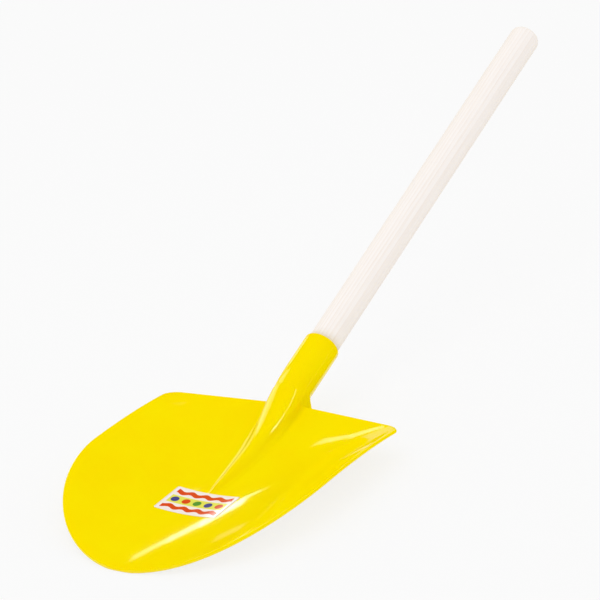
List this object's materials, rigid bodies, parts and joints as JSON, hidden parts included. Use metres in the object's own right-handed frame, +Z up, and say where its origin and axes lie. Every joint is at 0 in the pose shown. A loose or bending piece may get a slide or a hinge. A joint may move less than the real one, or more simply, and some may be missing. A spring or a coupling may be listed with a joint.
{
  "type": "sand shovel",
  "caption": "Child's digging spade for sand: a glossy dished plastic blade with a raised neck and socket, on a straight round wooden handle.",
  "frame": {"origin": "centre of the footprint, on the ground under the lowest line of the dish", "axes": "+Y along the shovel from the blade's tip towards the handle's free end, +Z up out of the dish, +X across the blade, to the right when looking from the tip to the handle with +Z up"},
  "size_m": [0.172, 0.5082, 0.1434],
  "materials": {
    "yellow_plastic": "glossy",
    "pale_wood": "sanded",
    "printed_film": "satin print",
    "screw_steel": "zinc plated"
  },
  "bodies": {
    "root": {"blade": "yellow_plastic", "handle": "pale_wood", "label": "printed_film", "retaining_screw": "screw_steel"}
  },
  "joints": []
}
